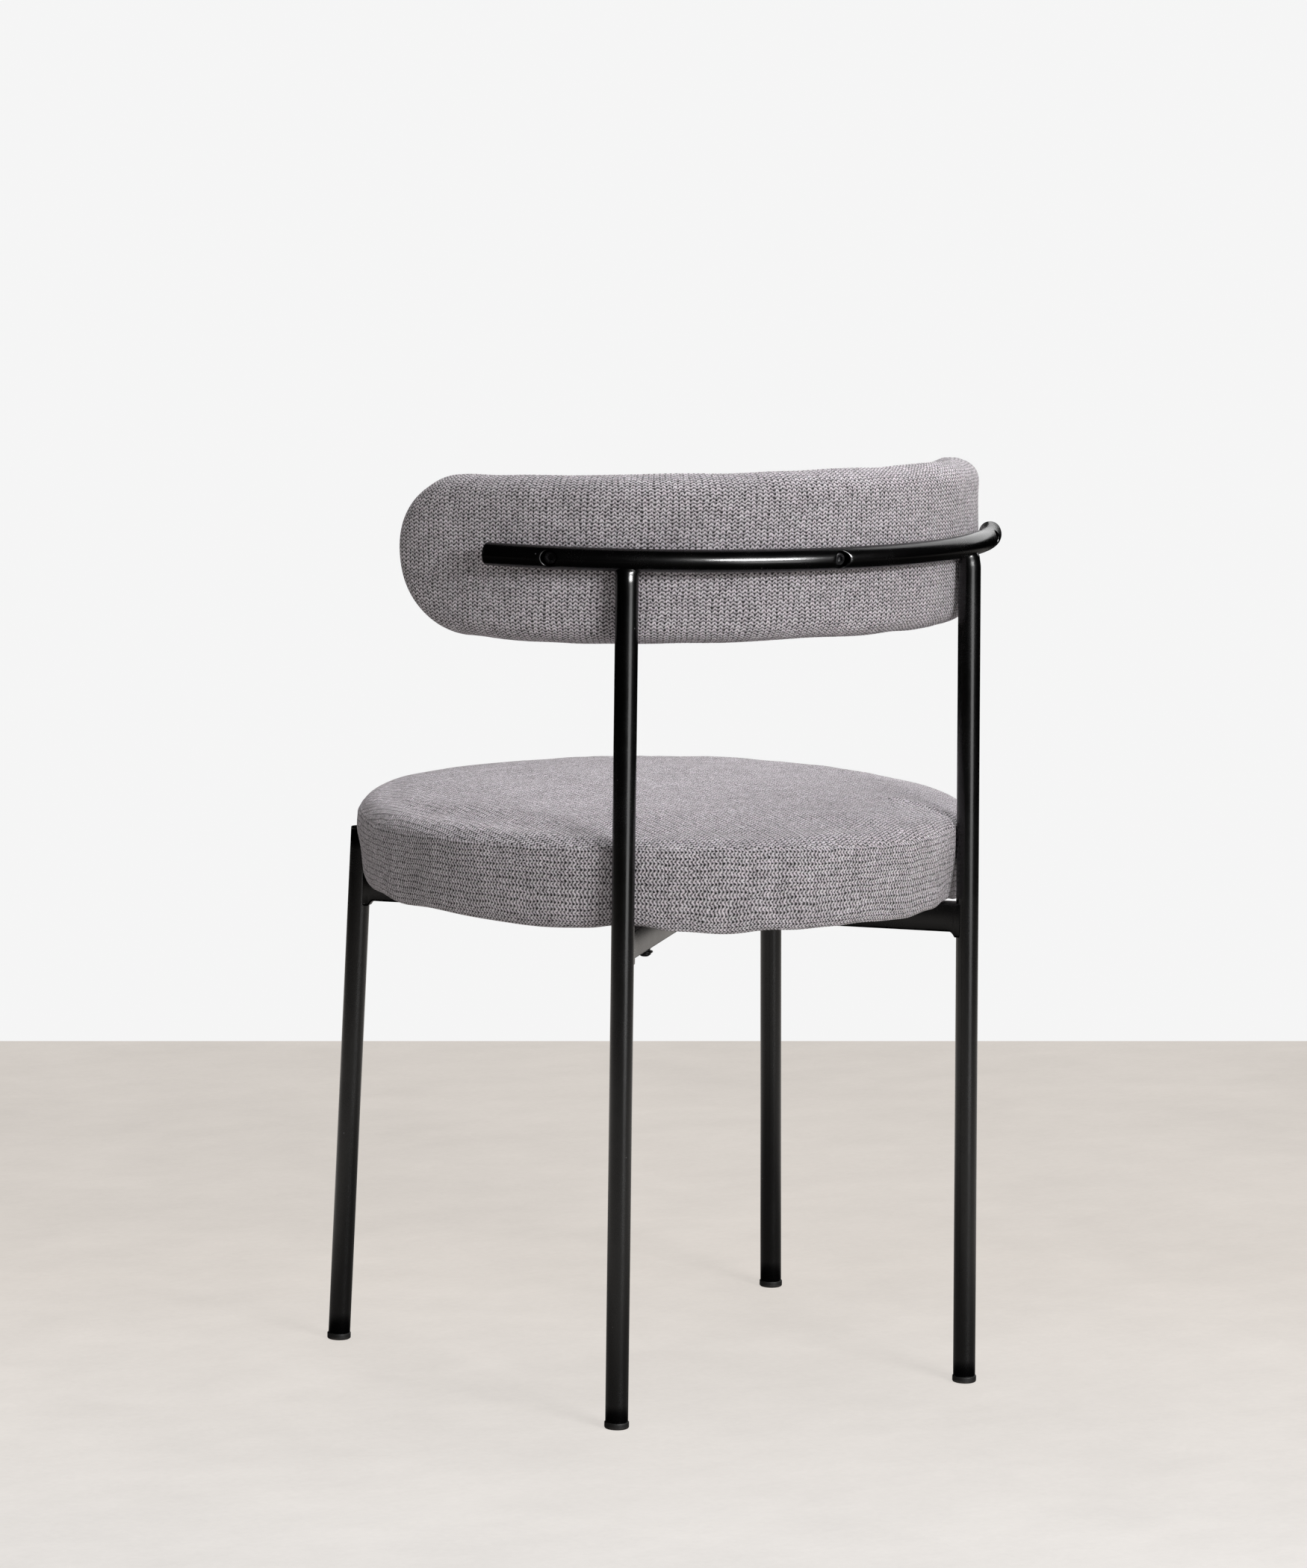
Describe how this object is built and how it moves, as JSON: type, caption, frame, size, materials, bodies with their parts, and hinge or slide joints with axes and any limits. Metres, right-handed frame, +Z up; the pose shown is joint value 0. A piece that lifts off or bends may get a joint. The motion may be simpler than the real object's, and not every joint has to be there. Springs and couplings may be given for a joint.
{
  "type": "dining chair",
  "caption": "Dining chair with a black round-tube steel frame, a round upholstered seat on crossed tubes and a curved upholstered back pad screwed to a bent rail.",
  "frame": {"origin": "centre of the chair's bounding box, on the floor", "axes": "+Z up, -Y the way the sitter faces, X across, the sitter's left is +X"},
  "size_m": [0.561, 0.5317, 0.7868],
  "materials": {
    "powder_coat": "matte, fine speckle",
    "glide_plastic": "matte",
    "plywood": "raw",
    "foam": "open-cell foam, matte",
    "knit_cloth": "chunky knitted chenille, matte",
    "dust_cloth": "thin non-woven, matte",
    "zinc_wire": "zinc-plated",
    "zinc_steel": "zinc-plated",
    "black_screw": "black oxide, semi-gloss"
  },
  "bodies": {
    "root": {"rear_leg_left": "powder_coat", "rear_leg_right": "powder_coat", "front_leg_left": "powder_coat", "front_leg_right": "powder_coat", "back_rail": "powder_coat", "rail_end_cap_left": "powder_coat", "rail_end_cap_right": "powder_coat", "front_leg_cap_left": "powder_coat", "front_leg_cap_right": "powder_coat", "cross_tube_long": "powder_coat", "cross_tube_half_left": "powder_coat", "cross_tube_half_right": "powder_coat", "foot_glide_rear_left": "glide_plastic", "foot_glide_rear_right": "glide_plastic", "foot_glide_front_left": "glide_plastic", "foot_glide_front_right": "glide_plastic", "seat_board": "plywood", "seat_foam": "foam", "seat_top_cover": "knit_cloth", "seat_side_cover": "knit_cloth", "seat_dust_cover": "dust_cloth", "seat_staples": "zinc_wire", "seat_tee_nuts": "zinc_steel", "seat_washers": "black_screw", "seat_screws": "black_screw", "back_board": "plywood", "back_foam_front": "foam", "back_foam_rear": "foam", "back_cover_front": "knit_cloth", "back_cover_rear": "knit_cloth", "back_tee_nuts": "zinc_steel", "back_screws": "black_screw"}
  },
  "joints": []
}
